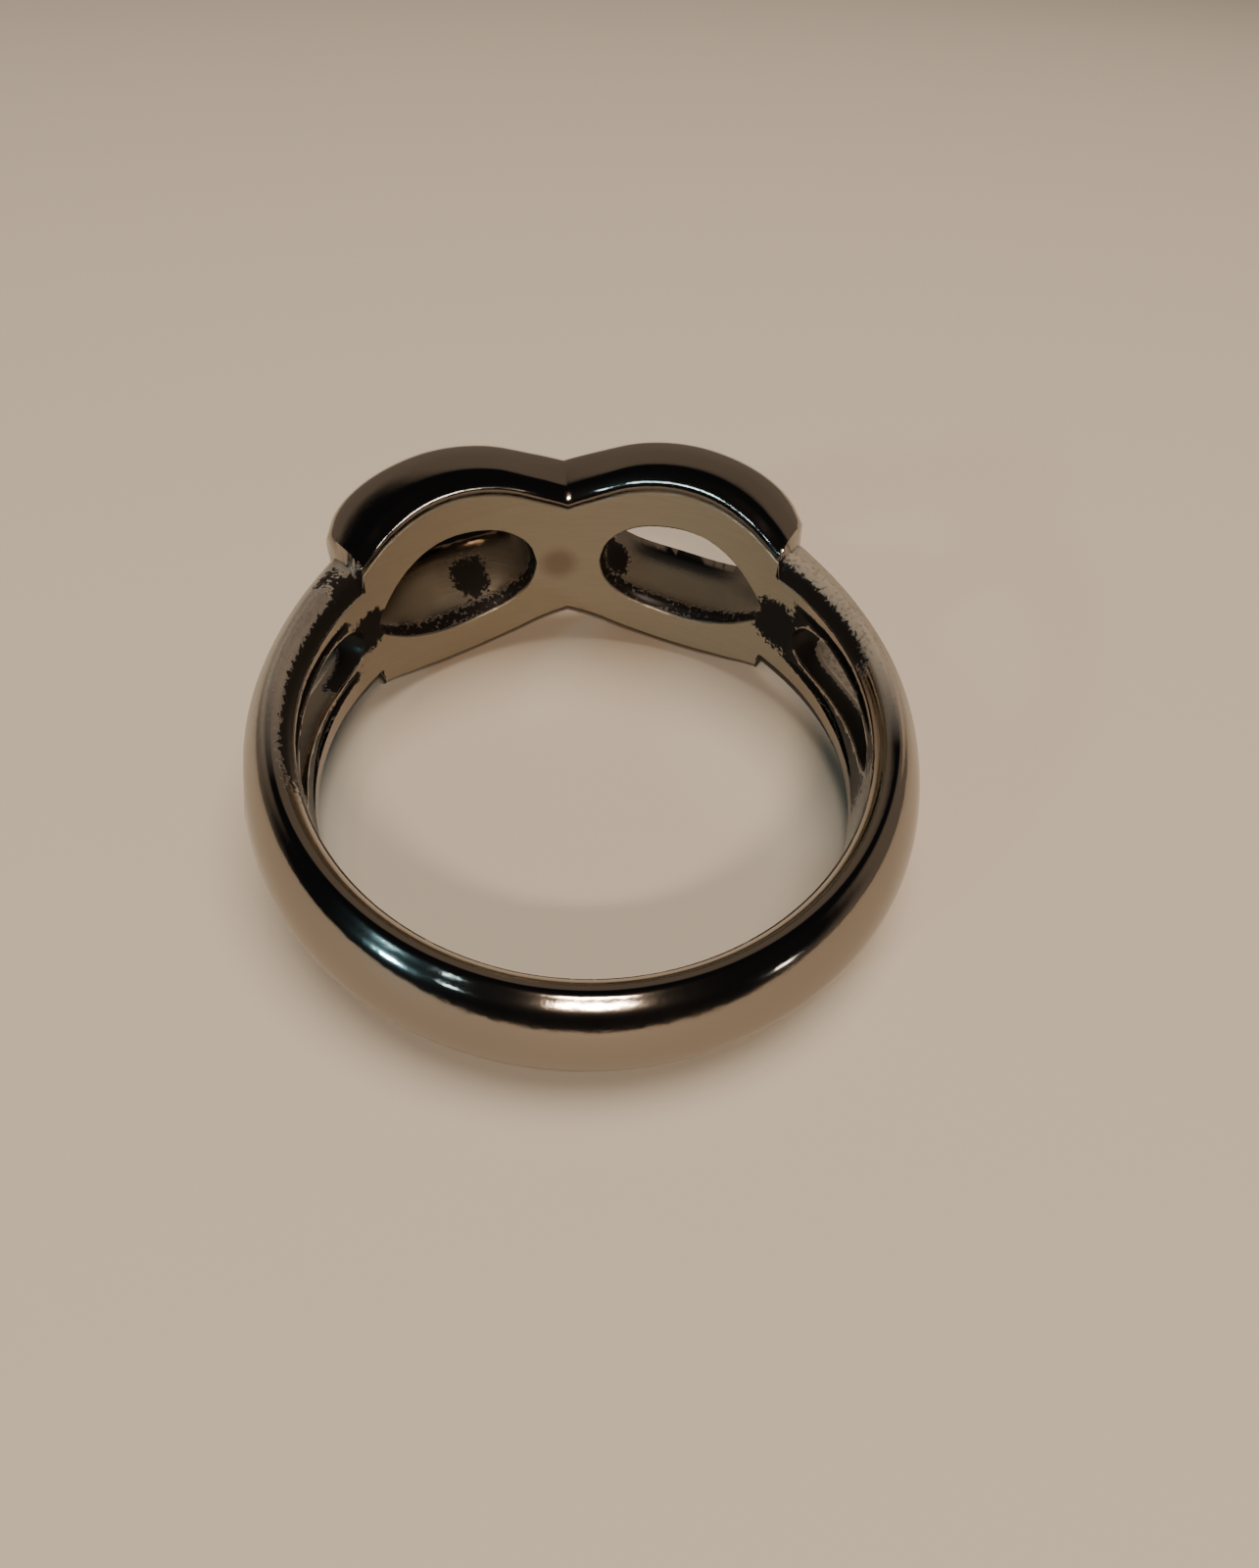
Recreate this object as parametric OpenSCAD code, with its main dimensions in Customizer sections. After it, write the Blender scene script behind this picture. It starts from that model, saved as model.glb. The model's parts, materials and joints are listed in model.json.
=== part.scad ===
// Infinity ring, cast in one piece: a figure of eight lying across the finger, with an eye in
// each lobe, two strands with a gap between them on each shoulder, and a plain rounded shank.
// It lies on its side, as it would on a table: both lower lobes and the shank touch the table.
// Angles run round the finger hole from the middle of the head, which faces +Y.

/* [Finger hole] */
// Inside diameter, about US size 7
finger_d = 17.3; // [15:0.1:21]

/* [Head] */
// Length over both lobes, measured round the finger hole
head_len = 15.8; // [15:0.1:17.4]
// Height of a lobe's inner face where it is tallest
lobe_h = 6.7; // [6:0.1:7.6]
// How far a lobe's rounded side stands past its inner face
lobe_flare = 0.75; // [0.5:0.05:0.9]
// Metal thickness at the crossing
cross_t = 2.7; // [2.3:0.1:2.9]
// Metal thickness at the middle of a lobe
lobe_t = 3; // [2.7:0.1:3.3]

/* [Eyes] */
// Length of each eye on the inner face
eye_len = 6.6; // [5.4:0.1:6.8]
// Height of each eye on the inner face
eye_h = 4.1; // [3:0.1:4.4]
// Metal left between the two eyes at the crossing
cross_web = 2.3; // [2:0.1:3]
// Share of the right eye's height that is left open at the outer face
right_eye_opening = 0.68; // [0.4:0.02:0.8]
// The same for the left eye, which narrows so far that nothing is seen through it from above
left_eye_opening = 0.2; // [0.16:0.02:0.8]

/* [Shoulders] */
// Height over both strands beside the head
shoulder_h = 5.2; // [5:0.1:5.8]
// How far the strands' rounded sides stand past their inner face
shoulder_flare = 0.85; // [0.6:0.05:0.9]
// Metal thickness of the strands
strand_t = 1.7; // [1.4:0.1:2.1]
// Length of the gap between the strands
gap_len = 6.6; // [4:0.1:7]
// Height of the gap between the strands
gap_h = 1.75; // [1:0.05:1.9]
// How far the gap climbs toward the upper strand along its length
gap_rise = 0.5; // [0:0.05:0.6]
// Bridge of metal between an eye and the gap
bridge = 1.45; // [1.2:0.05:1.8]
// How much nearer to its eye the left gap begins
left_gap_lead = 0.8; // [0:0.05:0.85]
// How far the crease slants toward the head for each millimetre outward
crease_slant = 0.27; // [0:0.01:0.4]
// Width of the hollow along each strand, on the finger side
hollow_w = 0.5; // [0.3:0.02:0.6]
// Width of the rim between a hollow and the gap
rim_w = 0.06; // [0.05:0.01:0.12]

/* [Shank] */
// Height of the shank at the back of the finger
shank_h = 3.6; // [3:0.1:4]
// Metal thickness of the shank at the back of the finger
shank_t = 1.9; // [1.4:0.05:2.1]
// Rounding of the shank's side
shank_round = 0.6; // [0.4:0.05:0.8]

/* [Hidden] */
bore_r = finger_d / 2;
half_round = PI * bore_r;             // way round the hole from the head to the back
crease = head_len / 2;                // where a lobe ends in a crease on the shoulder
head_steps = 16;
shank_steps = 30;
eye_start = cross_web / 2;
gap_start = eye_start + eye_len + bridge;
strand_mid = gap_h / 2 + rim_w + hollow_w / 2;
cut = 0.7;                            // how far a cutter runs past a surface

// Each row: share of the way from the crossing to the crease, shares of the lobe's height, of
// its flare and of its extra thickness over the crossing, then how near to the strands' thickness
head_rows = [
    [0, 0.66, 0.9, 0, 0], [0.12, 0.765, 0.95, 0.3, 0], [0.28, 0.915, 1, 0.75, 0],
    [0.46, 1, 1, 1, 0], [0.64, 0.99, 1, 0.95, 0], [0.82, 0.89, 0.93, 1.1, 0],
    [0.93, 0.79, 0.85, 1.3, 0.08], [1, 0.72, 0.8, 1.3, 0.42]];

// Each row: share of the way from the crease to the back, how much of the shoulder's height,
// rounding and thickness is left over the shank's, then how round the outside is
shank_rows = [
    [0, 1.1, 0.8, 0, 0.15], [0.05, 1.1, 0.92, 0.6, 0.3], [0.14, 1, 1, 1, 0.5],
    [0.28, 0.85, 0.85, 0.95, 0.7], [0.45, 0.52, 0.55, 0.7, 0.9], [0.65, 0.2, 0.25, 0.35, 1],
    [0.85, 0.03, 0.05, 0.08, 1], [1, 0, 0, 0, 1]];

// Each row: share of the flare, then share of the thickness on the head and past the crease,
// up the side from the finger
side_rows = [[0.05, 0.01, 0.02], [0.4, 0.04, 0.07], [0.72, 0.1, 0.15], [0.93, 0.16, 0.25],
    [1, 0.24, 0.34]];

// Each row: share of the thickness, then share of the full half height, over the outside of
// the head and over the rounder outside of the shank
dome_rows = [[0.45, 0.995, 0.925], [0.6, 0.985, 0.8], [0.78, 0.96, 0.57], [0.9, 0.9, 0.36],
    [0.975, 0.76, 0.17], [1, 0.5, 0.06]];

// Each row: share of the length, then share of the height
eye_rows = [[0, 0], [0.02, 0.3], [0.07, 0.56], [0.18, 0.82], [0.33, 0.96], [0.5, 1], [0.65, 0.9],
    [0.8, 0.66], [0.91, 0.38], [0.97, 0.18], [1, 0]];
gap_rows = [[0, 0], [0.015, 0.4], [0.07, 0.82], [0.2, 1], [0.4, 0.93], [0.6, 0.8], [0.8, 0.62],
    [0.93, 0.44], [1, 0]];

// Value of one column at a share x, along a smooth curve through the rows
function slope(rows, i, c) = let (a = max(i - 1, 0), b = min(i + 1, len(rows) - 1))
    (rows[b][c] - rows[a][c]) / (rows[b][0] - rows[a][0]);
function blend(rows, i, c, x) =
    let (w = rows[i + 1][0] - rows[i][0], t = (x - rows[i][0]) / w)
    rows[i][c] * (1 - t) * (1 - t) * (1 + 2 * t) + rows[i + 1][c] * t * t * (3 - 2 * t)
    + w * t * (1 - t) * (slope(rows, i, c) * (1 - t) - slope(rows, i + 1, c) * t);
function row_at(rows, x) = max([for (i = [0 : len(rows) - 2]) if (x >= rows[i][0]) i]);
function value_at(rows, c, x) = blend(rows, row_at(rows, x), c, x);

// Sizes of the section at a distance u round the hole: inner half height, flare, thickness,
// roundness of the outside, and 0 on the head or 1 past the crease for its sides
inner_shoulder = shoulder_h / 2 - shoulder_flare;
inner_shank = shank_h / 2 - shank_round;
function mix(low, high, share) = low + (high - low) * share;
function head_size(x) = [
    lobe_h / 2 * value_at(head_rows, 1, x),
    lobe_flare * value_at(head_rows, 2, x),
    mix(mix(cross_t, lobe_t, value_at(head_rows, 3, x)), strand_t, value_at(head_rows, 4, x)),
    0.15 * x,
    0];
function shank_size(x) = [
    mix(inner_shank, inner_shoulder, value_at(shank_rows, 1, x)),
    mix(shank_round, shoulder_flare, value_at(shank_rows, 2, x)),
    mix(shank_t, strand_t, value_at(shank_rows, 3, x)),
    value_at(shank_rows, 4, x),
    1];
function size_at(u) = u <= crease ? head_size(u / crease)
    : shank_size((u - crease) / (half_round - crease));

// Half of a section as [height, distance from the finger], from inside the hole to the crown
function half_section(s) = concat(
    [[s[0] - 0.35, -cut]],
    [for (r = side_rows) [s[0] + s[1] * r[0], s[2] * mix(r[1], r[2], s[4])]],
    [for (r = dome_rows) [(s[0] + s[1]) * mix(r[1], r[2], s[3]), s[2] * r[0]]]);
function section(s) = let (half = half_section(s), n = len(half)) concat(
    half, [[0, s[2]]], [for (i = [n - 1 : -1 : 0]) [-half[i][0], half[i][1]]], [[0, -cut]]);

// Place of a point at a distance u round the hole, a height and a distance from the finger
function place(u, height, out) = let (a = u / bore_r * 180 / PI)
    [(bore_r + out) * sin(a), (bore_r + out) * cos(a), height];

// The same for a point of a section, slanted round the crease
function set_point(u, p) = let (near = exp(-pow((abs(u) - crease) / 1.6, 2)))
    place(u - sign(u) * crease_slant * near * max(p[1], 0), p[0], p[1]);

stations = concat(
    [for (i = [0 : head_steps - 1]) crease * i / head_steps],
    [for (i = [0 : shank_steps]) mix(crease, half_round, i / shank_steps)]);
loop_u = concat(stations, [for (i = [len(stations) - 2 : -1 : 1]) -stations[i]]);

// Solid ring before anything is cut: sections placed round the loop and skinned
module band() {
    rings = [for (u = loop_u) [for (p = section(size_at(abs(u)))) set_point(u, p)]];
    n = len(rings[0]);
    m = len(rings);
    polyhedron(
        points = [for (ring = rings) each ring],
        faces = [for (i = [0 : m - 1], j = [0 : n - 1])
            let (a = i * n + j, b = i * n + (j + 1) % n, c = (i + 1) % m * n + j,
                d = (i + 1) % m * n + (j + 1) % n)
            each [[a, b, d], [a, d, c]]]);
}

// Cutter for an eye or a gap: its outline on the finger side, resized toward the outside, and
// climbing by its rise
module opening(start, length, height, rows, layers, rise = 0) {
    xs = [for (i = [0 : 2 : 30]) (1 - cos(i * 6)) / 2];
    upper = [for (x = xs) [x, value_at(rows, 1, x)]];
    lower = [for (i = [len(xs) - 2 : -1 : 1]) [xs[i], -value_at(rows, 1, xs[i])]];
    outline = concat(upper, lower);
    n = len(outline);
    m = len(layers);
    polyhedron(
        points = [for (l = layers, p = outline)
            place(start + length * (0.5 + (p[0] - 0.5) * l[1]),
                height / 2 * p[1] * l[2] + rise * (0.2 + 0.8 * p[0]), l[0])],
        faces = concat(
            [for (i = [0 : m - 2], j = [0 : n - 1])
                let (a = i * n + j, b = i * n + (j + 1) % n)
                each [[a, a + n, b + n], [a, b + n, b]]],
            [for (j = [1 : n - 2]) [0, j, j + 1]],
            [for (j = [1 : n - 2]) [n * (m - 1), n * (m - 1) + j + 1, n * (m - 1) + j]]));
}

// Each layer: distance from the finger, share of the length, share of the height
function eye_layers(open_share) = [[-cut, 1.09, 1.25], [-0.12, 1.015, 1.05], [0.15, 0.985, 0.95],
    [0.45, 0.95, 0.84], [lobe_t / 2, 0.92, mix(open_share, 0.84, 0.45)], [lobe_t, 0.9, open_share],
    [lobe_t + 3 * cut, 0.9, open_share]];
gap_layers = [[-cut, 1.03, 1.06], [-0.1, 1.005, 1.01], [0.3, 0.985, 1], [0.9, 0.98, 1.18],
    [strand_t, 0.97, 1.6], [strand_t + 3 * cut, 0.96, 2.2]];

// Hollows along the two strands of a shoulder
module hollows() {
    from = gap_start / bore_r * 180 / PI;
    sweep = 0.86 * gap_len / bore_r * 180 / PI;
    for (level = [-strand_mid, strand_mid])
        translate([0, 0, level + 0.3 * gap_rise])
            rotate([0, 0, 90 - from - sweep])
                rotate_extrude(angle = sweep, $fn = 90)
                    translate([bore_r, 0])
                        circle(d = hollow_w, $fn = 24);
}

// The ring about its own finger axis
module casting() {
    difference() {
        band();
        cylinder(h = 2 * lobe_h, r = bore_r, center = true, $fn = 180);
        for (side = [0, 1]) mirror([side, 0, 0]) {
            opening(eye_start, eye_len, eye_h, eye_rows,
                eye_layers(side == 0 ? right_eye_opening : left_eye_opening));
            opening(gap_start - side * left_gap_lead, gap_len + side * left_gap_lead, gap_h,
                gap_rows, gap_layers, gap_rise);
            hollows();
        }
    }
}

// Points of the outside that can touch the table, for the head and for the back of the shank
function outside(us) = [for (u = us, p = section(size_at(u))) if (p[1] > 0) set_point(u, p)];
head_points = outside([for (u = stations) if (u < crease) u]);
back_points = outside([for (u = stations) if (u > half_round / 2) u]);

// Height and depth of a point when the ring leans by an angle
function leaned_z(q, lean) = q[1] * sin(lean) + q[2] * cos(lean);
function leaned_y(q, lean) = q[1] * cos(lean) - q[2] * sin(lean);
function lowest(points, lean) = min([for (q = points) leaned_z(q, lean)]);

// Lean at which the lobes and the shank touch the table together, found by halving
function settle(low, high, steps) = let (try = (low + high) / 2)
    steps == 0 ? try
    : lowest(head_points, try) < lowest(back_points, try) ? settle(try, high, steps - 1)
    : settle(low, try, steps - 1);
lean = settle(0, 20, 30);
lift = -lowest(head_points, lean);
front = max([for (q = head_points) leaned_y(q, lean)]);
back = min([for (q = back_points) leaned_y(q, lean)]);
setback = -(front + back) / 2;        // brings the middle of the ring's length to the origin

module ring() {
    color("silver")
        translate([0, setback, lift])
            rotate([lean, 0, 0])
                casting();
}

ring();
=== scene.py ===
import bpy
import bmesh
import json
import math
from types import SimpleNamespace
from mathutils import Euler, Matrix, Vector


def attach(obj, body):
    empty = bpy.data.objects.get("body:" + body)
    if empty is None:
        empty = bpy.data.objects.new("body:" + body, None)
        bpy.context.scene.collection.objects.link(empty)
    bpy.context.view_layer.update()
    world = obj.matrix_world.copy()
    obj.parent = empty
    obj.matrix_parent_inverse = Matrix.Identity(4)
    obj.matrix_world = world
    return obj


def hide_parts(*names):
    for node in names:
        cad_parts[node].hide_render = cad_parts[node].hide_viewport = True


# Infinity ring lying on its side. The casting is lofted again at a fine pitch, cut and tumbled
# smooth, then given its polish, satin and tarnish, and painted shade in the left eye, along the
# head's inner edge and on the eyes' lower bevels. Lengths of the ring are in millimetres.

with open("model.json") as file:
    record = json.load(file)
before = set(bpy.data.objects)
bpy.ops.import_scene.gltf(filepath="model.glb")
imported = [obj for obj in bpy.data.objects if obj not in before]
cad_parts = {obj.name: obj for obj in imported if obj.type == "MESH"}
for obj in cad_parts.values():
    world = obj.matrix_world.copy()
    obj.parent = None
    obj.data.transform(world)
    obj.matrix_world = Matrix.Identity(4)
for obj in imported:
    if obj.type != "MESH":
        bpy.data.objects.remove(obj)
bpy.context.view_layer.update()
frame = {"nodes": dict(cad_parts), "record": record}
holeMount = frame["record"]["mounts"][0]
mm = 0.001

# Ring frame: finger axis along Z, head toward +Y, laid down on the table by its lean
holeAxis = Vector(holeMount["axis"])
lean = math.atan2(-holeAxis.y, holeAxis.z)
layDown = Matrix.Translation(Vector(holeMount["pos_m"])) @ Matrix.Rotation(lean, 4, "X")

ringSizes = {
    "holeRadius": holeMount["dims"]["r_mm"],
    "headLength": 15.8,
    "lobeHeight": 6.7,
    "lobeFlare": 0.75,
    "crossThickness": 2.7,
    "lobeThickness": 3.0,
    "shoulderHeight": 5.2,
    "shoulderFlare": 0.85,
    "strandThickness": 1.7,
    "shankHeight": 3.6,
    "shankThickness": 1.9,
    "shankRound": 0.6,
    "creaseSlant": 0.27,
    "slantReach": 1.6,      # how far from the crease the slant is felt
}
openingSizes = {
    "eyeLength": 6.6,
    "eyeHeight": 4.1,
    "crossWeb": 2.3,
    "rightEyeOpening": 0.68,
    "leftEyeOpening": 0.2,
    "bridge": 1.45,
    "leftGapLead": 0.8,
    "gapLength": 6.6,
    "gapHeight": 1.75,
    "gapRise": 0.5,
    "hollowWidth": 0.5,
    "hollowRun": 0.86,      # share of the gap's length
    "rimWidth": 0.06,
}
skinSizes = {
    "stepAlong": 0.16,      # pitch of the loft round the finger
    "profileSteps": 5,      # points between two rows of a section
    "layerSteps": 4,        # layers between two layers of a plug
    "plugSteps": 30,        # points along one side of a plug
    "rodSides": 360,
    "rodStep": 0.15,
    "hollowSteps": 90,
    "hollowSides": 20,
    "edge": 0.03,           # how far the tumbled edges are rounded
    "sharpAngle": 38,       # degrees at which a fold counts as an edge
}

# Share of the way to the crease, then height, flare, extra thickness, nearness to the strands'
headRows = [
    (0, 0.66, 0.9, 0, 0), (0.12, 0.765, 0.95, 0.3, 0), (0.28, 0.915, 1, 0.75, 0), (0.46, 1, 1, 1, 0),
    (0.64, 0.99, 1, 0.95, 0), (0.82, 0.89, 0.93, 1.1, 0), (0.93, 0.79, 0.85, 1.3, 0.08),
    (1, 0.72, 0.8, 1.3, 0.42)]
# Share of the way to the back, then height, rounding, thickness, roundness of the outside
shankRows = [
    (0, 1.1, 0.8, 0, 0.15), (0.05, 1.1, 0.92, 0.6, 0.3), (0.14, 1, 1, 1, 0.5),
    (0.28, 0.85, 0.85, 0.95, 0.7), (0.45, 0.52, 0.55, 0.7, 0.9), (0.65, 0.2, 0.25, 0.35, 1),
    (0.85, 0.03, 0.05, 0.08, 1), (1, 0, 0, 0, 1)]
# Share of the flare, share of the thickness on the head and past the crease
sideRows = [(0.05, 0.01, 0.02), (0.4, 0.04, 0.07), (0.72, 0.1, 0.15), (0.93, 0.16, 0.25), (1, 0.24, 0.34)]
# Share of the thickness, share of the half height at the head and at the shank
domeRows = [
    (0.45, 0.995, 0.925), (0.6, 0.985, 0.8), (0.78, 0.96, 0.57), (0.9, 0.9, 0.36), (0.975, 0.76, 0.17),
    (1, 0.5, 0.06)]
# Share of the length, share of the height
eyeRows = [
    (0, 0), (0.02, 0.3), (0.07, 0.56), (0.18, 0.82), (0.33, 0.96), (0.5, 1), (0.65, 0.9),
    (0.8, 0.66), (0.91, 0.38), (0.97, 0.18), (1, 0)]
gapRows = [
    (0, 0), (0.015, 0.4), (0.07, 0.82), (0.2, 1), (0.4, 0.93), (0.6, 0.8), (0.8, 0.62),
    (0.93, 0.44), (1, 0)]

holeRadius = ringSizes["holeRadius"]
halfRound = math.pi * holeRadius
crease = ringSizes["headLength"] / 2
eyeStart = openingSizes["crossWeb"] / 2
gapStart = eyeStart + openingSizes["eyeLength"] + openingSizes["bridge"]
strandMid = openingSizes["gapHeight"] / 2 + openingSizes["rimWidth"] + openingSizes["hollowWidth"] / 2
hollowClimb = 0.3 * openingSizes["gapRise"]
cutPast = 0.7
innerLap = 0.35     # how far a section reaches under its inner face


def mix(low, high, share):
    return low + (high - low) * share


# Smooth curve through the rows of a table, read at a share x
def slopeAt(rows, i, column):
    a = max(i - 1, 0)
    b = min(i + 1, len(rows) - 1)
    return (rows[b][column] - rows[a][column]) / (rows[b][0] - rows[a][0])


def valueAt(rows, column, x):
    i = max(k for k in range(len(rows) - 1) if x >= rows[k][0])
    w = rows[i + 1][0] - rows[i][0]
    t = (x - rows[i][0]) / w
    ends = rows[i][column] * (1 - t) ** 2 * (1 + 2 * t) + rows[i + 1][column] * t * t * (3 - 2 * t)
    bend = slopeAt(rows, i, column) * (1 - t) - slopeAt(rows, i + 1, column) * t
    return ends + w * t * (1 - t) * bend


def sizeAt(u):
    s = ringSizes
    if u <= crease:
        x = u / crease
        thickness = mix(s["crossThickness"], s["lobeThickness"], valueAt(headRows, 3, x))
        return (s["lobeHeight"] / 2 * valueAt(headRows, 1, x), s["lobeFlare"] * valueAt(headRows, 2, x),
                mix(thickness, s["strandThickness"], valueAt(headRows, 4, x)), 0.15 * x, 0)
    x = min((u - crease) / (halfRound - crease), 1)
    innerShoulder = s["shoulderHeight"] / 2 - s["shoulderFlare"]
    innerShank = s["shankHeight"] / 2 - s["shankRound"]
    return (mix(innerShank, innerShoulder, valueAt(shankRows, 1, x)),
            mix(s["shankRound"], s["shoulderFlare"], valueAt(shankRows, 2, x)),
            mix(s["shankThickness"], s["strandThickness"], valueAt(shankRows, 3, x)),
            valueAt(shankRows, 4, x), 1)


# Points of a polyline smoothed by a spline that passes through all of them
def smoothLine(points, steps):
    line = []
    for i in range(len(points) - 1):
        before = points[max(i - 1, 0)]
        after = points[min(i + 2, len(points) - 1)]
        for k in range(steps):
            t = k / steps
            line.append(tuple(
                0.5 * (2 * p1 + (p2 - p0) * t + (2 * p0 - 5 * p1 + 4 * p2 - p3) * t * t
                       + (3 * p1 - p0 - 3 * p2 + p3) * t ** 3)
                for p0, p1, p2, p3 in zip(before, points[i], points[i + 1], after)))
    line.append(points[-1])
    return line


# Closed section as (height, distance from the finger)
def sectionAt(u):
    inner, flare, thick, roundness, past = sizeAt(u)
    side = [(inner + flare * r[0], thick * mix(r[1], r[2], past)) for r in sideRows]
    dome = [((inner + flare) * mix(r[1], r[2], roundness), thick * r[0]) for r in domeRows]
    over = smoothLine(side + dome + [(0, thick)], skinSizes["profileSteps"])
    half = [(inner - innerLap, -cutPast)] + over
    return half + [(-h, out) for h, out in reversed(half[:-1])] + [(0, -cutPast)]


def place(u, height, out):
    a = u / holeRadius
    return ((holeRadius + out) * math.sin(a), (holeRadius + out) * math.cos(a), height)


# The same for a point of a section, slanted round the crease
def setPoint(u, height, out):
    near = math.exp(-((abs(u) - crease) / ringSizes["slantReach"]) ** 2)
    return place(u - math.copysign(ringSizes["creaseSlant"] * near * max(out, 0), u), height, out)


def spread(low, high, pitch):
    count = max(1, round((high - low) / pitch))
    return [mix(low, high, i / count) for i in range(count + 1)]


# Mesh object from closed loops of points, joined into a tube or a capped plug
def skinLoops(name, loops, closed):
    bm = bmesh.new()
    rows = [[bm.verts.new(p) for p in loop] for loop in loops]
    n = len(rows[0])
    pairs = list(zip(rows, rows[1:] + rows[:1])) if closed else list(zip(rows, rows[1:]))
    for low, high in pairs:
        for j in range(n):
            bm.faces.new((low[j], low[(j + 1) % n], high[(j + 1) % n], high[j]))
    if not closed:
        bm.faces.new(list(reversed(rows[0])))
        bm.faces.new(rows[-1])
    bmesh.ops.recalc_face_normals(bm, faces=bm.faces)
    mesh = bpy.data.meshes.new(name)
    bm.to_mesh(mesh)
    bm.free()
    piece = bpy.data.objects.new(name, mesh)
    bpy.context.scene.collection.objects.link(piece)
    return piece


def makeBand():
    pitch = skinSizes["stepAlong"]
    half = spread(0, crease, pitch) + spread(crease, halfRound, pitch)[1:]
    whole = half + [-u for u in reversed(half[1:-1])]
    loops = [[setPoint(u, h, out) for h, out in sectionAt(abs(u))] for u in whole]
    return skinLoops("band", loops, True)


# How far the middle of a gap has climbed at a share of its length
def climbAt(share, rise):
    return rise * (0.2 + 0.8 * share)


# Plug that cuts an eye or a gap. A layer is (distance, share of length, share of height)
def makePlug(name, start, length, height, rows, layers, side, rise=0):
    steps = skinSizes["plugSteps"]
    shares = [(1 - math.cos(math.pi * i / steps)) / 2 for i in range(steps + 1)]
    outline = [(x, valueAt(rows, 1, x)) for x in shares]
    outline += [(x, -y) for x, y in reversed(outline[1:-1])]
    loops = []
    for out, alongShare, upShare in smoothLine(layers, skinSizes["layerSteps"]):
        loops.append([
            place(side * (start + length * (0.5 + (x - 0.5) * alongShare)),
                  height / 2 * y * upShare + climbAt(x, rise), out)
            for x, y in outline])
    return skinLoops(name, loops, False)


def makeRod(name, radius, height):
    turns = [2 * math.pi * i / skinSizes["rodSides"] for i in range(skinSizes["rodSides"])]
    ring = [(radius * math.cos(turn), radius * math.sin(turn)) for turn in turns]
    levels = spread(-height, height, skinSizes["rodStep"])
    return skinLoops(name, [[(x, y, z) for x, y in ring] for z in levels], False)


# Bead along a strand that cuts its hollow, running out in a point at each end
def makeHollow(name, side, level):
    run = openingSizes["hollowRun"] * openingSizes["gapLength"]
    turns = [2 * math.pi * k / skinSizes["hollowSides"] for k in range(skinSizes["hollowSides"])]
    loops = []
    for i in range(skinSizes["hollowSteps"] + 1):
        share = i / skinSizes["hollowSteps"]
        radius = openingSizes["hollowWidth"] / 2 * min(1, (2.2 * min(share, 1 - share) + 0.02) ** 0.5)
        u = side * (gapStart + run * share)
        loops.append([
            place(u, level + radius * math.cos(turn), radius * math.sin(turn)) for turn in turns])
    return skinLoops(name, loops, False)


def cutWith(target, cutters):
    for cutter in cutters:
        cut = target.modifiers.new(cutter.name, "BOOLEAN")
        cut.operation = "DIFFERENCE"
        cut.solver = "EXACT"
        cut.object = cutter


def bakeModifiers(target):
    graph = bpy.context.evaluated_depsgraph_get()
    graph.update()
    fresh = bpy.data.meshes.new_from_object(target.evaluated_get(graph))
    target.modifiers.clear()
    target.data = fresh


def castRing():
    o = openingSizes
    lobe = ringSizes["lobeThickness"]
    farOut = lobe + 3 * cutPast
    gapLayers = [
        (-cutPast, 1.03, 1.06), (-0.1, 1.005, 1.01), (0.3, 0.985, 1.0), (0.9, 0.98, 1.18),
        (1.7, 0.97, 1.6), (farOut, 0.96, 2.2)]
    band = makeBand()
    cutters = [makeRod("fingerRod", holeRadius, 2 * ringSizes["lobeHeight"])]
    sides = ((-1, o["leftEyeOpening"], o["leftGapLead"]), (1, o["rightEyeOpening"], 0))
    for side, openShare, lead in sides:
        eyeLayers = [
            (-cutPast, 1.09, 1.25), (-0.12, 1.015, 1.05), (0.15, 0.985, 0.95), (0.45, 0.95, 0.84),
            (lobe / 2, 0.92, mix(openShare, 0.84, 0.45)), (lobe, 0.9, openShare),
            (farOut, 0.9, openShare)]
        cutters.append(makePlug("eyePlug", eyeStart, o["eyeLength"], o["eyeHeight"],
                                eyeRows, eyeLayers, side))
        cutters.append(makePlug("gapPlug", gapStart - lead, o["gapLength"] + lead, o["gapHeight"],
                                gapRows, gapLayers, side, o["gapRise"]))
        for level in (-strandMid, strandMid):
            cutters.append(makeHollow("hollowBead", side, level + hollowClimb))
    cutWith(band, cutters)
    bakeModifiers(band)
    print("cast:", len(band.data.polygons), "faces")
    tumble = band.modifiers.new("tumble", "BEVEL")
    tumble.width = skinSizes["edge"]
    tumble.segments = 2
    tumble.limit_method = "ANGLE"
    tumble.angle_limit = math.radians(skinSizes["sharpAngle"])
    bakeModifiers(band)
    band.data.shade_smooth()
    band.data.set_sharp_from_angle(angle=math.radians(skinSizes["sharpAngle"]))
    print("tumbled:", len(band.data.polygons), "faces")
    for cutter in cutters:
        bpy.data.objects.remove(cutter)
    return band


ringPiece = castRing()


# Metal
metalLook = {
    "bright": (0.32, 0.28, 0.24),
    "satin": (0.287, 0.246, 0.178),
    "worn": (0.25, 0.2, 0.148),
    "grime": (0.07, 0.052, 0.038),
    "stain": (0.13, 0.078, 0.05),
    # painted shade, for the left eye's wall and the head's inner edge
    "paintedShade": (0.045, 0.036, 0.028),
    # soot, and painted shade on the eyes' lower bevels
    "darkening": (0.009, 0.007, 0.006),
    "verdigris": (0.075, 0.095, 0.085),
    "polishRoughness": 0.07,
    "satinRoughness": 0.5,
    "satinMetal": 0.72,
    "wornMetal": 0.25,
    "wornRoughness": 0.42,      # added to the polish, as the next two are
    "cloudRoughness": 0.05,
    "darkeningRoughness": 0.25,
    "verdigrisDull": 0.6,
    "darkeningDull": 0.85,
    "cloudScale": 260,
    "grainScale": 2600,
    "speckScale": 7000,
    "brushScale": 5200,
    "brushStretch": (0.12, 0.12, 2.2),
    "bumpStrength": 0.22,
    "bumpDistance": 0.00002,
}
maskNames = ("satin", "worn", "stain", "paintedShade", "darkening", "verdigris")


def addNode(tree, kind, **settings):
    node = tree.nodes.new(kind)
    for name, value in settings.items():
        setattr(node, name, value)
    return node


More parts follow.
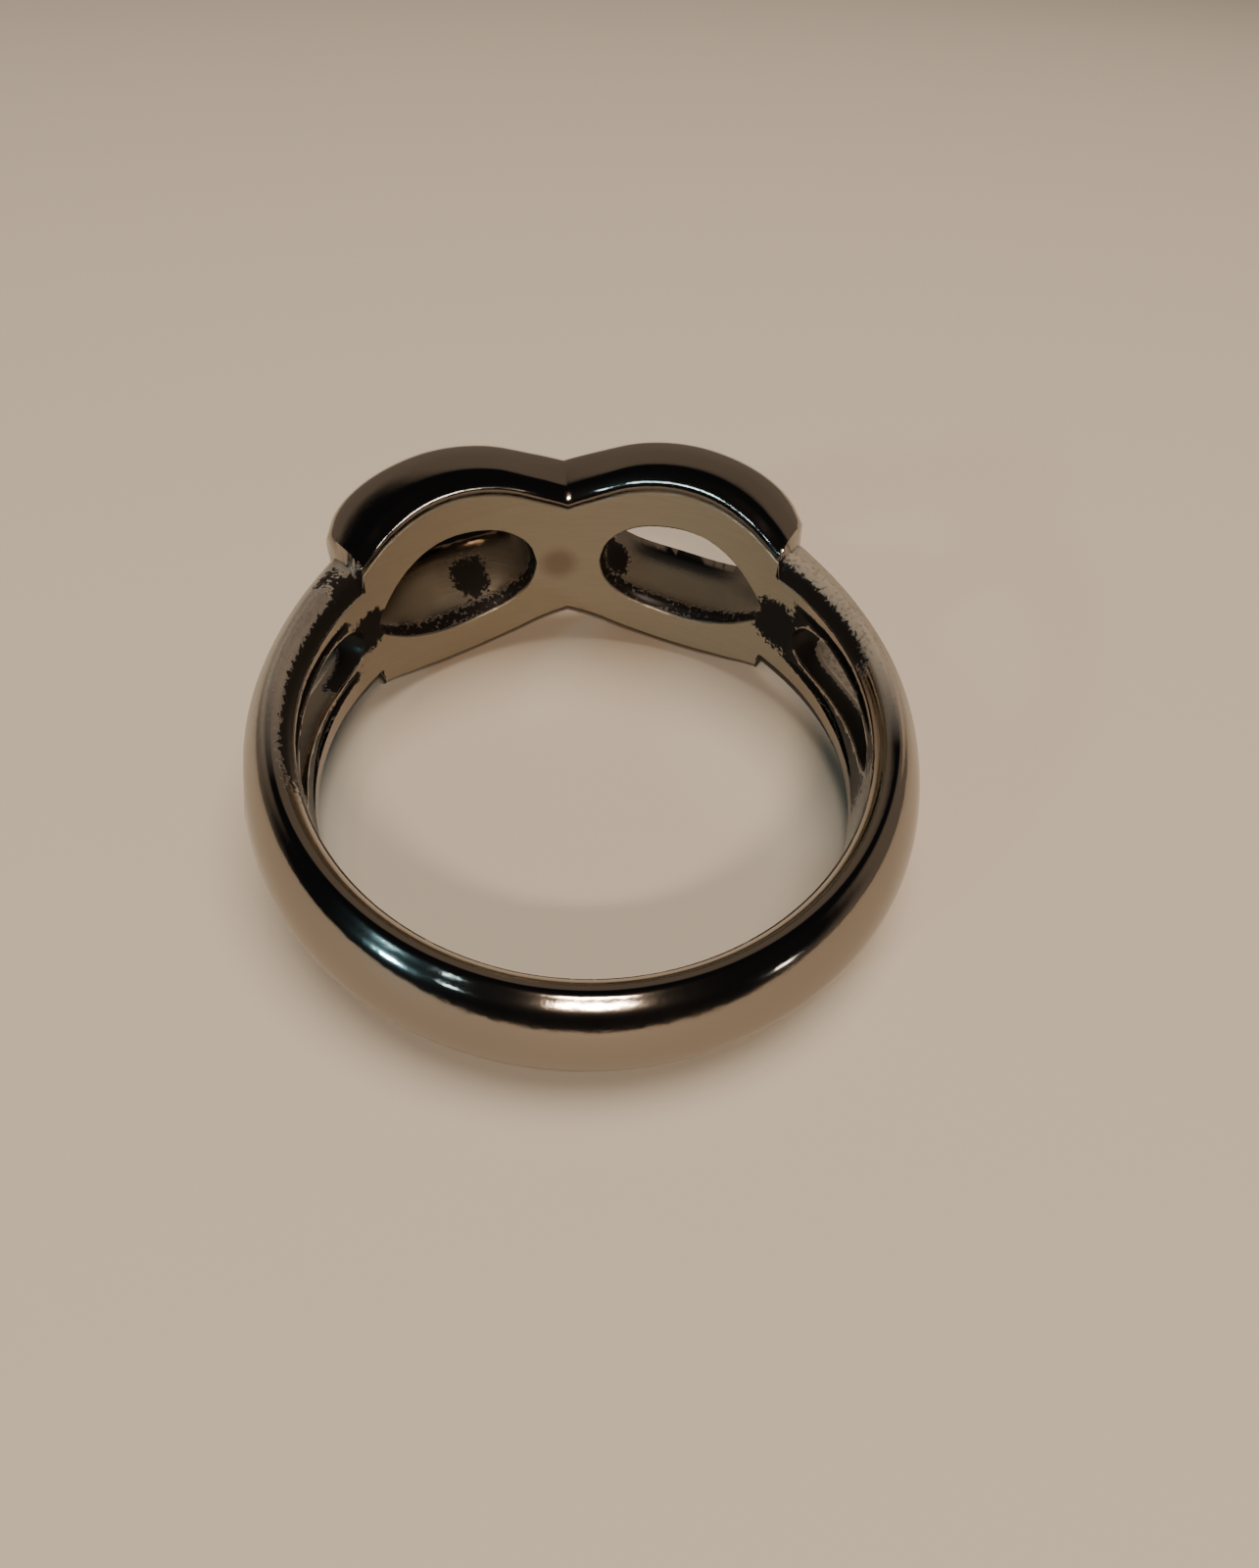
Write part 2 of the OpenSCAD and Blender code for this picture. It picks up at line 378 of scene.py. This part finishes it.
def setSocket(tree, socket, value):
    if isinstance(value, tuple):
        socket.default_value = (*value, 1)
    elif isinstance(value, (int, float)):
        socket.default_value = value
    else:
        tree.links.new(value, socket)


def mixColours(tree, factor, a, b):
    node = addNode(tree, "ShaderNodeMix", data_type="RGBA")
    for i, value in ((0, factor), (6, a), (7, b)):
        setSocket(tree, node.inputs[i], value)
    return node.outputs[2]


def mathNode(tree, operation, a, b=0.0):
    node = addNode(tree, "ShaderNodeMath", operation=operation)
    setSocket(tree, node.inputs[0], a)
    setSocket(tree, node.inputs[1], b)
    return node.outputs[0]


def times(tree, value, factor):
    return mathNode(tree, "MULTIPLY", value, factor)


def total(tree, value, *others):
    for other in others:
        value = mathNode(tree, "ADD", value, other)
    return value


def smoothRamp(tree, value, low, high):
    node = addNode(tree, "ShaderNodeMapRange", interpolation_type="SMOOTHSTEP")
    node.inputs["From Min"].default_value = low
    node.inputs["From Max"].default_value = high
    tree.links.new(value, node.inputs["Value"])
    return node.outputs["Result"]


def makeNoise(tree, where, scale, detail):
    node = addNode(tree, "ShaderNodeTexNoise")
    node.inputs["Scale"].default_value = scale
    node.inputs["Detail"].default_value = detail
    tree.links.new(where, node.inputs["Vector"])
    return node.outputs[0]


# Noises that break up the finish, and the darkening (soot, and painted shade on the eyes' lower
# bevels) that is ragged along its edge by the fine specks
def makeWeather(tree, masks):
    look = metalLook
    where = addNode(tree, "ShaderNodeTexCoord").outputs["Object"]
    cloud = makeNoise(tree, where, look["cloudScale"], 5)
    grain = makeNoise(tree, where, look["grainScale"], 6)
    specks = makeNoise(tree, where, look["speckScale"], 6)
    # brushed lines run round the finger, so they are close together up its axis
    stretch = addNode(tree, "ShaderNodeMapping")
    stretch.inputs["Scale"].default_value = look["brushStretch"]
    tree.links.new(where, stretch.inputs["Vector"])
    brush = makeNoise(tree, stretch.outputs[0], look["brushScale"], 3)
    ragged = times(tree, mathNode(tree, "SUBTRACT", specks, 0.5), 2.2)
    thick = mathNode(tree, "SUBTRACT", times(tree, masks["darkening"], 1.6), 0.3)
    return SimpleNamespace(
        cloud=cloud,
        grain=grain,
        brushed=times(tree, smoothRamp(tree, brush, 0.3, 0.75), masks["satin"]),
        grimy=smoothRamp(tree, total(tree, specks, times(tree, cloud, 0.6)), 0.72, 1.05),
        raggedDarkening=smoothRamp(tree, total(tree, thick, ragged), 0.3, 0.7))


def makeSilverColour(tree, masks, weather):
    look = metalLook
    base = mixColours(tree, masks["satin"], look["bright"], look["satin"])
    base = mixColours(tree, times(tree, weather.brushed, 0.35), base, look["worn"])
    worn = mixColours(tree, weather.grimy, look["worn"], look["grime"])
    base = mixColours(tree, masks["worn"], base, worn)
    base = mixColours(tree, times(tree, masks["stain"], 0.6), base, look["stain"])
    # painted shade in the left eye and along the head's inner edge
    base = mixColours(tree, masks["paintedShade"], base, look["paintedShade"])
    base = mixColours(tree, masks["verdigris"], base, look["verdigris"])
    # soot, and painted shade on the eyes' lower bevels
    return mixColours(tree, weather.raggedDarkening, base, look["darkening"])


def makeSilver():
    look = metalLook
    material = bpy.data.materials.new("wornSilver")
    material.use_nodes = True
    tree = material.node_tree
    shader = tree.nodes["Principled BSDF"]
    masks = {
        name: addNode(tree, "ShaderNodeAttribute", attribute_name=name).outputs["Fac"]
        for name in maskNames}
    weather = makeWeather(tree, masks)
    raggedDarkening = weather.raggedDarkening
    dull = total(
        tree, times(tree, masks["satin"], 1 - look["satinMetal"]),
        times(tree, masks["worn"], 1 - look["wornMetal"]),
        times(tree, masks["verdigris"], look["verdigrisDull"]),
        times(tree, raggedDarkening, look["darkeningDull"]))
    rough = total(
        tree, times(tree, masks["satin"], look["satinRoughness"] - look["polishRoughness"]),
        look["polishRoughness"],
        times(tree, masks["worn"], look["wornRoughness"]),
        times(tree, weather.cloud, look["cloudRoughness"]),
        times(tree, raggedDarkening, look["darkeningRoughness"]))
    metallic = mathNode(tree, "SUBTRACT", 1, mathNode(tree, "MINIMUM", dull, 1))
    gloss = mathNode(tree, "SUBTRACT", 0.5, times(tree, raggedDarkening, 0.38))
    bump = addNode(tree, "ShaderNodeBump")
    bump.inputs["Strength"].default_value = look["bumpStrength"]
    bump.inputs["Distance"].default_value = look["bumpDistance"]
    height = total(tree, weather.grain, times(tree, weather.cloud, 1.5), weather.brushed)
    tree.links.new(height, bump.inputs["Height"])
    tree.links.new(makeSilverColour(tree, masks, weather), shader.inputs["Base Color"])
    tree.links.new(metallic, shader.inputs["Metallic"])
    tree.links.new(rough, shader.inputs["Roughness"])
    tree.links.new(gloss, shader.inputs["Specular IOR Level"])
    tree.links.new(bump.outputs[0], shader.inputs["Normal"])
    return material


def fadeIn(value, low, high):
    return min(1, max(0, (value - low) / (high - low)))


def fadeOut(value, low, high):
    return 1 - fadeIn(value, low, high)


# 1 inside an ellipse round a place, running out to 0 past its edge
def spot(at, area, edge=0.35):
    middle, level, reach, up = area
    return fadeOut(math.hypot((at.along - middle) / reach, (at.height - level) / up), 1 - edge, 1 + edge)


# Where the finish changes, in millimetres. A pair is where a fade begins and where it ends: out
# from the finger hole, along it from the crossing, or up. An area of four is the middle along
# the hole, the height, half the length and half the height
finishPlaces = {
    "holeWall": (0.02, 0.05),           # out
    "headEnd": (-0.2, 0.1),             # past the crease
    "satinEnd": (9.0, 10.0),            # along
    "crossStain": (-0.35, -0.1, 0.62, 0.62),
    "eyeHeight": (2.1, 2.35),           # up
    "eyeInner": (0.4, 0.75),            # out
    "eyeOuter": (1.7, 2.3),             # out
    "eyeSatin": 0.85,
    "leftEyeShade": (3.6, 4.5),         # along
    "leftEyeShadeDepth": 0.65,
    "leftEyePatch": (-3.3, -1.0, 0.62, 0.7),
    "rightEyePatch": (1.6, -0.8, 0.6, 0.9),
    "bevelHeight": (1.9, 2.2),          # up
    "bevelInner": (0.03, 0.08),         # out
    "bevelOuter": (0.4, 0.6),           # out
    # strength of the painted shade on the eyes' lower bevels
    "bevelPaintedShade": 0.75,
    "leftBridge": (-8.2, 0.25, 0.95, 0.8),
    "rightBridge": (8.4, 0.0, 1.15, 1.0),
    "bridgeOuter": (0.8, 1.2),          # out
    "gapEdge": (0.06, 0.14),            # past the gap's edge
    "strandRim": (0.05, 0.1),           # past the gap's edge
    "strandOuter": (0.3, 0.45),         # out
    "strandSoot": 0.85,
    "bandInner": (0.02, 0.08),          # past the inner face
    "bandOuter": (0.42, 0.82),          # past the inner face
    "bandOut": (0.5, 0.8),              # out
    "rightBandEnd": (11.7, 14.2),       # along
    "leftBandEnd": (15.0, 17.5),        # along
    "leftCrease": (-8.6, 1.9, 0.8, 0.8),
    "creaseOuter": (0.9, 1.3),          # out
    "edgeLineInner": (0.0, 0.04),       # past the inner face
    "edgeLineOuter": (0.16, 0.3),       # past the inner face
    "edgeLineOut": (0.2, 0.35),         # out
    "edgeLineShade": 0.85,
    "wornInner": (0.52, 0.67),          # past the inner face
    "wornOuter": (0.8, 1.0),            # out
    "wornGap": (0.1, 0.3),              # past the gap's edge
    "wornEnd": (12.5, 16.0),            # along
    "wornRight": 0.95,
    "wornLeft": 0.4,
    "leftVerdigris": (-9.6, 0.5, 0.9, 0.6),
    "verdigrisDepth": 0.7,
}
eyeEnd = eyeStart + openingSizes["eyeLength"]
gapEnd = gapStart + openingSizes["gapLength"]


# Where a point of the ring lies, and how far it is past the inner face and the gap's edge
def locate(point):
    x, y, z = point
    at = SimpleNamespace(height=z, out=math.hypot(x, y) - holeRadius, along=math.atan2(x, y) * holeRadius)
    at.u = abs(at.along)
    at.left = at.along < 0
    at.side = "left" if at.left else "right"
    at.pastInner = abs(z) - sizeAt(min(at.u, halfRound))[0]
    at.inHead = fadeOut(at.u, *(crease + d for d in finishPlaces["headEnd"]))
    at.inHole = fadeOut(at.out, *finishPlaces["holeWall"])
    at.gapLead = openingSizes["leftGapLead"] if at.left else 0
    share = fadeIn(at.u, gapStart - at.gapLead, gapEnd)
    reach = 0.5 * openingSizes["gapHeight"] * valueAt(gapRows, 1, share)
    at.pastGap = abs(z - climbAt(share, openingSizes["gapRise"])) - reach
    return at


def eyeWall(at):
    places = finishPlaces
    wall = fadeOut(abs(at.height), *places["eyeHeight"]) * fadeIn(at.out, *places["eyeInner"])
    return wall * at.inHead * fadeOut(at.out, *places["eyeOuter"])


# Dark patches deep in the eyes, and painted shade on the bevel that runs along their lower edge, in place of
# its dark reflection
def eyePatchesAndBevelShade(at):
    places = finishPlaces
    bevel = fadeOut(abs(at.height), *places["bevelHeight"]) * fadeIn(at.out, *places["bevelInner"])
    bevel *= fadeOut(at.out, *places["bevelOuter"]) * at.inHead
    bevel *= fadeIn(at.u, eyeStart - 0.3, eyeStart) * fadeOut(at.u, eyeEnd, eyeEnd + 0.3)
    bevel *= max(fadeOut(at.height, -0.4, 0.2), fadeOut(at.u, eyeStart + 0.3, eyeStart + 0.9))
    return max(eyeWall(at) * spot(at, places[at.side + "EyePatch"], 0.5), places["bevelPaintedShade"] * bevel)


# Soot on the walls of a gap. The left one is clean low down, away from its eye
def gapSoot(at):
    start = gapStart - at.gapLead
    darkening = fadeIn(at.u, start - 0.2, start) * fadeOut(at.u, gapEnd - 0.1, gapEnd + 0.1)
    darkening *= fadeIn(at.out, *finishPlaces["bevelInner"]) * fadeOut(at.pastGap, *finishPlaces["gapEdge"])
    if at.left:
        darkening *= max(fadeOut(at.u, gapStart + 0.6, gapStart + 1.8), fadeIn(at.height, 0.2, 0.6))
    return darkening


# Strands are dark between their rims
def strandSoot(at):
    places = finishPlaces
    hollowEnd = strandMid + 0.5 * openingSizes["hollowWidth"] + hollowClimb * (1 if at.height > 0 else -1)
    darkening = fadeIn(at.pastGap, *places["strandRim"])
    darkening *= fadeOut(abs(at.height), hollowEnd - 0.06, hollowEnd)
    darkening *= fadeIn(at.u, gapStart - 0.5, gapStart) * fadeOut(at.u, gapEnd - 0.3, gapEnd + 1.5)
    return places["strandSoot"] * darkening * fadeOut(at.out, *places["strandOuter"])


# The ragged black band outside the rims, and the patch at the left crease
def shoulderSoot(at):
    places = finishPlaces
    band = fadeIn(at.pastInner, *places["bandInner"]) * fadeOut(at.pastInner, *places["bandOuter"])
    band *= fadeOut(at.u, *places[at.side + "BandEnd"]) * fadeOut(at.out, *places["bandOut"])
    patch = spot(at, places["leftCrease"]) * fadeOut(at.out, *places["creaseOuter"])
    if at.height <= 0:
        patch = 0
    return (1 - at.inHead) * max(band, patch * (1 - at.inHole))


# Painted shade: a thin dark line along the head's inner edge, in place of the dark reflection there
def edgeLine(at):
    places = finishPlaces
    line = fadeIn(at.pastInner, *places["edgeLineInner"]) * fadeOut(at.pastInner, *places["edgeLineOuter"])
    line *= at.inHead * fadeOut(at.out, *places["edgeLineOut"]) * (1 - at.inHole)
    return places["edgeLineShade"] * line


def wornShoulder(at):
    places = finishPlaces
    outside = fadeIn(at.out, *places["wornOuter"]) * fadeIn(at.pastGap, *places["wornGap"])
    worn = max(fadeIn(at.pastInner, *places["wornInner"]), outside)
    worn *= (1 - at.inHead) * fadeOut(at.u, *places["wornEnd"])
    return worn * (places["wornLeft"] if at.left else places["wornRight"])


def finishAt(point):
    places = finishPlaces
    at = locate(point)
    wall = eyeWall(at)
    # painted shade: the left eye's wall is darkened on its half towards the crossing
    wallShade = wall * fadeOut(at.u, *places["leftEyeShade"]) * places["leftEyeShadeDepth"] if at.left else 0
    bridge = spot(at, places[at.side + "Bridge"]) * fadeOut(at.out, *places["bridgeOuter"])
    return {
        "satin": max(at.inHole * fadeOut(at.u, *places["satinEnd"]), places["eyeSatin"] * wall),
        "worn": wornShoulder(at),
        "stain": at.inHole * spot(at, places["crossStain"], 0.4),
        "paintedShade": max(wallShade, edgeLine(at)),
        # soot, and painted shade on the eyes' lower bevels
        "darkening": max(eyePatchesAndBevelShade(at), bridge, gapSoot(at), strandSoot(at), shoulderSoot(at)),
        "verdigris": spot(at, places["leftVerdigris"], 0.4) * places["verdigrisDepth"] * (1 - at.inHole),
    }


def paintMasks(mesh):
    finishes = [finishAt(vertex.co) for vertex in mesh.vertices]
    for name in maskNames:
        values = [finish[name] for finish in finishes]
        mesh.attributes.new(name, "FLOAT", "POINT").data.foreach_set("value", values)


paintMasks(ringPiece.data)
ringPiece.data.transform(layDown @ Matrix.Scale(mm, 4))
ringPiece.name = "infinityRing"
silver = makeSilver()
ringPiece.data.materials.clear()
ringPiece.data.materials.append(silver)
for node in frame["nodes"].values():
    node.data.materials.clear()
    node.data.materials.append(silver)
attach(ringPiece, "root")
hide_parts("ring")
print("metal on")


# Floor
floorLook = {"size": 1.6, "colour": (0.43, 0.36, 0.285), "roughness": 0.85}


def makeFloor():
    bpy.ops.mesh.primitive_plane_add(size=floorLook["size"])
    floor = bpy.context.object
    floor.name = "floor"
    material = bpy.data.materials.new("paleFloor")
    material.use_nodes = True
    shader = material.node_tree.nodes["Principled BSDF"]
    shader.inputs["Base Color"].default_value = (*floorLook["colour"], 1)
    shader.inputs["Roughness"].default_value = floorLook["roughness"]
    floor.data.materials.append(material)


makeFloor()

# Lights: a broad soft one overhead that the metal doesn't mirror, small lamps round the near
# side that it does, and a dim room that is lighter on the far side
lightLook = {
    "fill": {"at": (0.05, 0.02, 0.40), "size": (0.34, 0.34), "power": 2.3, "colour": (1, 0.93, 0.84)},
    "nearLamp": {"at": (-0.01, -0.29, 0.20), "size": (0.10, 0.025), "power": 1.0, "colour": (1, 0.80, 0.62)},
    "coolLamp": {"at": (-0.27, -0.19, 0.11), "size": (0.02, 0.02), "power": 0.3, "colour": (0.4, 0.82, 1)},
    "leftLamp": {"at": (-0.20, -0.25, 0.15), "size": (0.02, 0.02), "power": 0.02, "colour": (0.6, 0.9, 1)},
    "rightLamp": {"at": (0.24, -0.22, 0.06), "size": (0.03, 0.03), "power": 0.03, "colour": (1, 0.93, 0.85)},
    "roomLow": (0.24, 0.195, 0.15),
    "roomHigh": (0.012, 0.012, 0.014),
    "roomTilt": (-0.25, -0.66, 1.0),
    "roomLine": (0.02, 0.42),
}


def makeLight(name):
    look = lightLook[name]
    data = bpy.data.lights.new(name, "AREA")
    data.shape = "ELLIPSE"
    data.size, data.size_y = look["size"]
    data.energy = look["power"]
    data.color = look["colour"]
    light = bpy.data.objects.new(name, data)
    bpy.context.scene.collection.objects.link(light)
    light.location = look["at"]
    light.rotation_euler = Vector(look["at"]).to_track_quat("Z", "Y").to_euler()
    return light


def makeRoom():
    world = bpy.data.worlds.new("room")
    bpy.context.scene.world = world
    world.use_nodes = True
    tree = world.node_tree
    where = addNode(tree, "ShaderNodeTexCoord")
    height = addNode(tree, "ShaderNodeVectorMath", operation="DOT_PRODUCT")
    tree.links.new(where.outputs["Generated"], height.inputs[0])
    height.inputs[1].default_value = lightLook["roomTilt"]
    share = smoothRamp(tree, height.outputs["Value"], *lightLook["roomLine"])
    colour = mixColours(tree, share, lightLook["roomLow"], lightLook["roomHigh"])
    tree.links.new(colour, tree.nodes["Background"].inputs["Color"])


for name in ("nearLamp", "coolLamp", "leftLamp", "rightLamp"):
    makeLight(name)
makeLight("fill").visible_glossy = False
makeRoom()

# Camera: held close over the back of the shank, looking in through the finger hole
cameraPose = {
    "azimuth": -6.49,       # round the finger axis, degrees
    "elevation": 51.21,     # above the plane of the ring
    "distance": 29.61,      # from the middle of the hole, millimetres
    "tilt": -2.60,
    "pan": -2.53,
    "roll": 2.01,
    "focal": 948.7,         # in pixels of the full frame
    "frameHeight": 1600,
}


def makeCamera():
    pose = cameraPose
    az = math.radians(pose["azimuth"])
    el = math.radians(pose["elevation"])
    back = Vector((math.sin(az) * math.cos(el), -math.cos(az) * math.cos(el), math.sin(el)))
    right = (-back).cross(Vector((0, 0, 1))).normalized()
    up = right.cross(-back)
    look = Matrix((right, up, back)).transposed()
    turn = Euler([math.radians(pose[k]) for k in ("tilt", "pan", "roll")]).to_matrix()
    data = bpy.data.cameras.new("camera")
    data.sensor_width = 36
    data.lens = pose["focal"] * data.sensor_width / pose["frameHeight"]
    data.clip_start = 0.002
    camera = bpy.data.objects.new("camera", data)
    bpy.context.scene.collection.objects.link(camera)
    camera.matrix_world = (layDown @ Matrix.Translation(back * pose["distance"] * mm)
                           @ (look @ turn).to_4x4())
    bpy.context.scene.camera = camera


makeCamera()
print("scene set")
